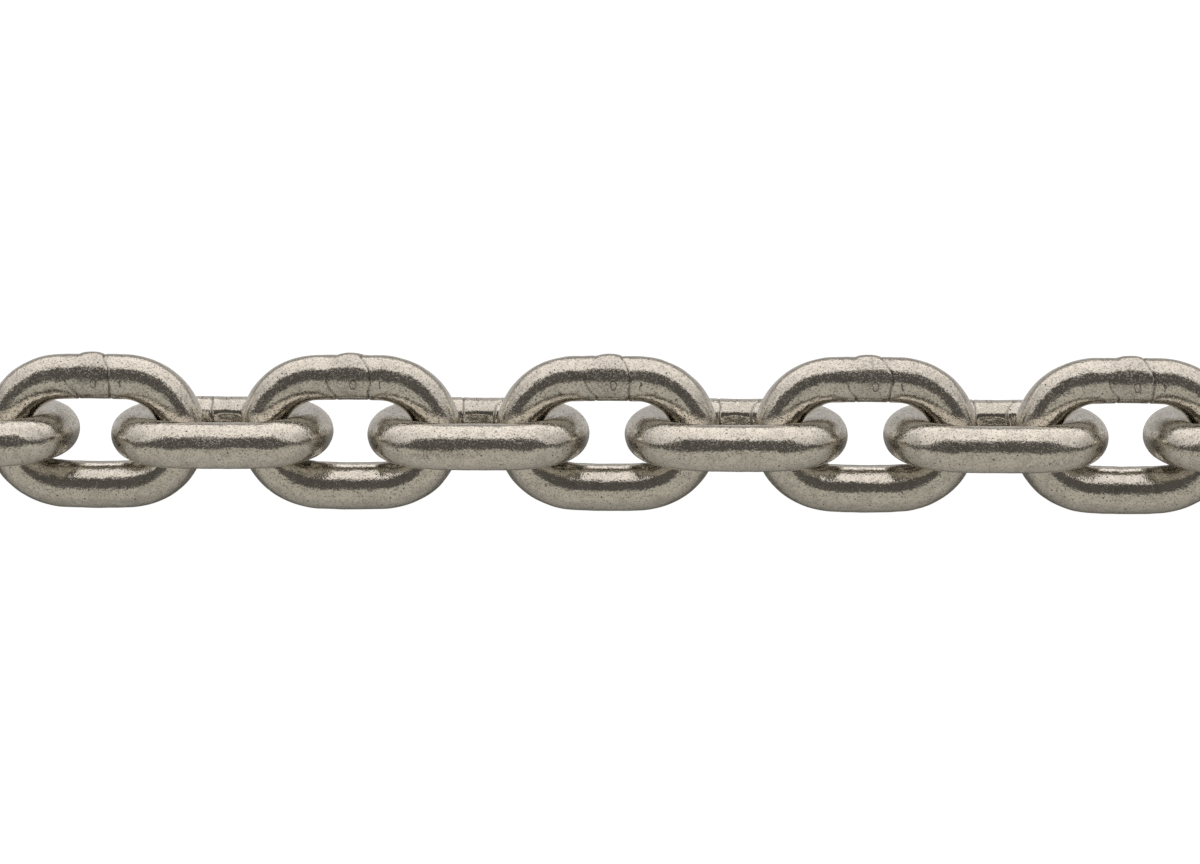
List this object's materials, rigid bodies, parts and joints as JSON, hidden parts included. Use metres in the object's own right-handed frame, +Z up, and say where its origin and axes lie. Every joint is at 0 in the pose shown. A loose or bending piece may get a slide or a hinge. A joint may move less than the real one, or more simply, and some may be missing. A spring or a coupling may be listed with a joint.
{
  "type": "length of short-link anchor chain",
  "caption": "Straight length of round-bar short-link chain; welded oval links pass through each other a quarter turn apart and each one pivots on its neighbours.",
  "frame": {"origin": "on the floor, at the bottom centre of the chain's box, under the middle link", "axes": "+X along the chain, +Y towards its back, +Z up"},
  "size_m": [1.0004, 0.0274, 0.0273],
  "materials": {
    "stainless_steel": "tumbled and half bright, with fine pits"
  },
  "bodies": {
    "link_01": {"link_01": "stainless_steel"},
    "link_02": {"link_02": "stainless_steel"},
    "link_03": {"link_03": "stainless_steel"},
    "link_04": {"link_04": "stainless_steel"},
    "link_05": {"link_05": "stainless_steel"},
    "link_06": {"link_06": "stainless_steel"},
    "link_07": {"link_07": "stainless_steel"},
    "link_08": {"link_08": "stainless_steel"},
    "link_09": {"link_09": "stainless_steel"},
    "link_10": {"link_10": "stainless_steel"},
    "link_11": {"link_11": "stainless_steel"},
    "link_12": {"link_12": "stainless_steel"},
    "link_13": {"link_13": "stainless_steel"},
    "link_14": {"link_14": "stainless_steel"},
    "link_15": {"link_15": "stainless_steel"},
    "link_16": {"link_16": "stainless_steel"},
    "link_17": {"link_17": "stainless_steel"},
    "link_18": {"link_18": "stainless_steel"},
    "link_19": {"link_19": "stainless_steel"},
    "link_20": {"link_20": "stainless_steel"},
    "link_21": {"link_21": "stainless_steel"},
    "link_22": {"link_22": "stainless_steel"},
    "link_23": {"link_23": "stainless_steel"},
    "link_24": {"link_24": "stainless_steel"},
    "link_25": {"link_25": "stainless_steel"},
    "link_26": {"link_26": "stainless_steel"},
    "link_27": {"link_27": "stainless_steel"},
    "link_28": {"link_28": "stainless_steel"},
    "link_29": {"link_29": "stainless_steel"},
    "link_30": {"link_30": "stainless_steel"},
    "link_31": {"link_31": "stainless_steel"},
    "link_32": {"link_32": "stainless_steel"},
    "link_33": {"link_33": "stainless_steel"},
    "link_34": {"link_34": "stainless_steel"},
    "link_35": {"link_35": "stainless_steel"}
  },
  "joints": [
    {"name": "pivot_01_02", "type": "hinge", "parent": "link_02", "child": "link_01", "pos_m": [-0.45682, 0, 0.01366], "axis": [0, 0.7071, -0.7071], "range_deg": [-100, 100]},
    {"name": "pivot_02_03", "type": "hinge", "parent": "link_03", "child": "link_02", "pos_m": [-0.42883, 0, 0.01366], "axis": [0, 0.7071, 0.7071], "range_deg": [-100, 100]},
    {"name": "pivot_03_04", "type": "hinge", "parent": "link_04", "child": "link_03", "pos_m": [-0.40082, 0, 0.01366], "axis": [0, -0.7071, 0.7071], "range_deg": [-100, 100]},
    {"name": "pivot_04_05", "type": "hinge", "parent": "link_05", "child": "link_04", "pos_m": [-0.37283, 0, 0.01366], "axis": [0, -0.7071, -0.7071], "range_deg": [-100, 100]},
    {"name": "pivot_05_06", "type": "hinge", "parent": "link_06", "child": "link_05", "pos_m": [-0.34482, 0, 0.01366], "axis": [0, 0.7071, -0.7071], "range_deg": [-100, 100]},
    {"name": "pivot_06_07", "type": "hinge", "parent": "link_07", "child": "link_06", "pos_m": [-0.31683, 0, 0.01366], "axis": [0, 0.7071, 0.7071], "range_deg": [-100, 100]},
    {"name": "pivot_07_08", "type": "hinge", "parent": "link_08", "child": "link_07", "pos_m": [-0.28882, 0, 0.01366], "axis": [0, -0.7071, 0.7071], "range_deg": [-100, 100]},
    {"name": "pivot_08_09", "type": "hinge", "parent": "link_09", "child": "link_08", "pos_m": [-0.26082, 0, 0.01366], "axis": [0, -0.7071, -0.7071], "range_deg": [-100, 100]},
    {"name": "pivot_09_10", "type": "hinge", "parent": "link_10", "child": "link_09", "pos_m": [-0.23283, 0, 0.01366], "axis": [0, 0.7071, -0.7071], "range_deg": [-100, 100]},
    {"name": "pivot_10_11", "type": "hinge", "parent": "link_11", "child": "link_10", "pos_m": [-0.20483, 0, 0.01366], "axis": [0, 0.7071, 0.7071], "range_deg": [-100, 100]},
    {"name": "pivot_11_12", "type": "hinge", "parent": "link_12", "child": "link_11", "pos_m": [-0.17683, 0, 0.01366], "axis": [0, -0.7071, 0.7071], "range_deg": [-100, 100]},
    {"name": "pivot_12_13", "type": "hinge", "parent": "link_13", "child": "link_12", "pos_m": [-0.14883, 0, 0.01366], "axis": [0, -0.7071, -0.7071], "range_deg": [-100, 100]},
    {"name": "pivot_13_14", "type": "hinge", "parent": "link_14", "child": "link_13", "pos_m": [-0.12083, 0, 0.01366], "axis": [0, 0.7071, -0.7071], "range_deg": [-100, 100]},
    {"name": "pivot_14_15", "type": "hinge", "parent": "link_15", "child": "link_14", "pos_m": [-0.09283, 0, 0.01366], "axis": [0, 0.7071, 0.7071], "range_deg": [-100, 100]},
    {"name": "pivot_15_16", "type": "hinge", "parent": "link_16", "child": "link_15", "pos_m": [-0.06482, 0, 0.01366], "axis": [0, -0.7071, 0.7071], "range_deg": [-100, 100]},
    {"name": "pivot_16_17", "type": "hinge", "parent": "link_17", "child": "link_16", "pos_m": [-0.03682, 0, 0.01366], "axis": [0, -0.7071, -0.7071], "range_deg": [-100, 100]},
    {"name": "pivot_17_18", "type": "hinge", "parent": "link_18", "child": "link_17", "pos_m": [-0.00882, 0, 0.01366], "axis": [0, 0.7071, -0.7071], "range_deg": [-100, 100]},
    {"name": "pivot_18_19", "type": "hinge", "parent": "link_18", "child": "link_19", "pos_m": [0.00882, 0, 0.01366], "axis": [0, 0.7071, -0.7071], "range_deg": [-100, 100]},
    {"name": "pivot_19_20", "type": "hinge", "parent": "link_19", "child": "link_20", "pos_m": [0.03682, 0, 0.01366], "axis": [0, -0.7071, -0.7071], "range_deg": [-100, 100]},
    {"name": "pivot_20_21", "type": "hinge", "parent": "link_20", "child": "link_21", "pos_m": [0.06482, 0, 0.01366], "axis": [0, -0.7071, 0.7071], "range_deg": [-100, 100]},
    {"name": "pivot_21_22", "type": "hinge", "parent": "link_21", "child": "link_22", "pos_m": [0.09283, 0, 0.01366], "axis": [0, 0.7071, 0.7071], "range_deg": [-100, 100]},
    {"name": "pivot_22_23", "type": "hinge", "parent": "link_22", "child": "link_23", "pos_m": [0.12083, 0, 0.01366], "axis": [0, 0.7071, -0.7071], "range_deg": [-100, 100]},
    {"name": "pivot_23_24", "type": "hinge", "parent": "link_23", "child": "link_24", "pos_m": [0.14883, 0, 0.01366], "axis": [0, -0.7071, -0.7071], "range_deg": [-100, 100]},
    {"name": "pivot_24_25", "type": "hinge", "parent": "link_24", "child": "link_25", "pos_m": [0.17683, 0, 0.01366], "axis": [0, -0.7071, 0.7071], "range_deg": [-100, 100]},
    {"name": "pivot_25_26", "type": "hinge", "parent": "link_25", "child": "link_26", "pos_m": [0.20483, 0, 0.01366], "axis": [0, 0.7071, 0.7071], "range_deg": [-100, 100]},
    {"name": "pivot_26_27", "type": "hinge", "parent": "link_26", "child": "link_27", "pos_m": [0.23283, 0, 0.01366], "axis": [0, 0.7071, -0.7071], "range_deg": [-100, 100]},
    {"name": "pivot_27_28", "type": "hinge", "parent": "link_27", "child": "link_28", "pos_m": [0.26082, 0, 0.01366], "axis": [0, -0.7071, -0.7071], "range_deg": [-100, 100]},
    {"name": "pivot_28_29", "type": "hinge", "parent": "link_28", "child": "link_29", "pos_m": [0.28882, 0, 0.01366], "axis": [0, -0.7071, 0.7071], "range_deg": [-100, 100]},
    {"name": "pivot_29_30", "type": "hinge", "parent": "link_29", "child": "link_30", "pos_m": [0.31683, 0, 0.01366], "axis": [0, 0.7071, 0.7071], "range_deg": [-100, 100]},
    {"name": "pivot_30_31", "type": "hinge", "parent": "link_30", "child": "link_31", "pos_m": [0.34482, 0, 0.01366], "axis": [0, 0.7071, -0.7071], "range_deg": [-100, 100]},
    {"name": "pivot_31_32", "type": "hinge", "parent": "link_31", "child": "link_32", "pos_m": [0.37283, 0, 0.01366], "axis": [0, -0.7071, -0.7071], "range_deg": [-100, 100]},
    {"name": "pivot_32_33", "type": "hinge", "parent": "link_32", "child": "link_33", "pos_m": [0.40082, 0, 0.01366], "axis": [0, -0.7071, 0.7071], "range_deg": [-100, 100]},
    {"name": "pivot_33_34", "type": "hinge", "parent": "link_33", "child": "link_34", "pos_m": [0.42883, 0, 0.01366], "axis": [0, 0.7071, 0.7071], "range_deg": [-100, 100]},
    {"name": "pivot_34_35", "type": "hinge", "parent": "link_34", "child": "link_35", "pos_m": [0.45682, 0, 0.01366], "axis": [0, 0.7071, -0.7071], "range_deg": [-100, 100]}
  ]
}
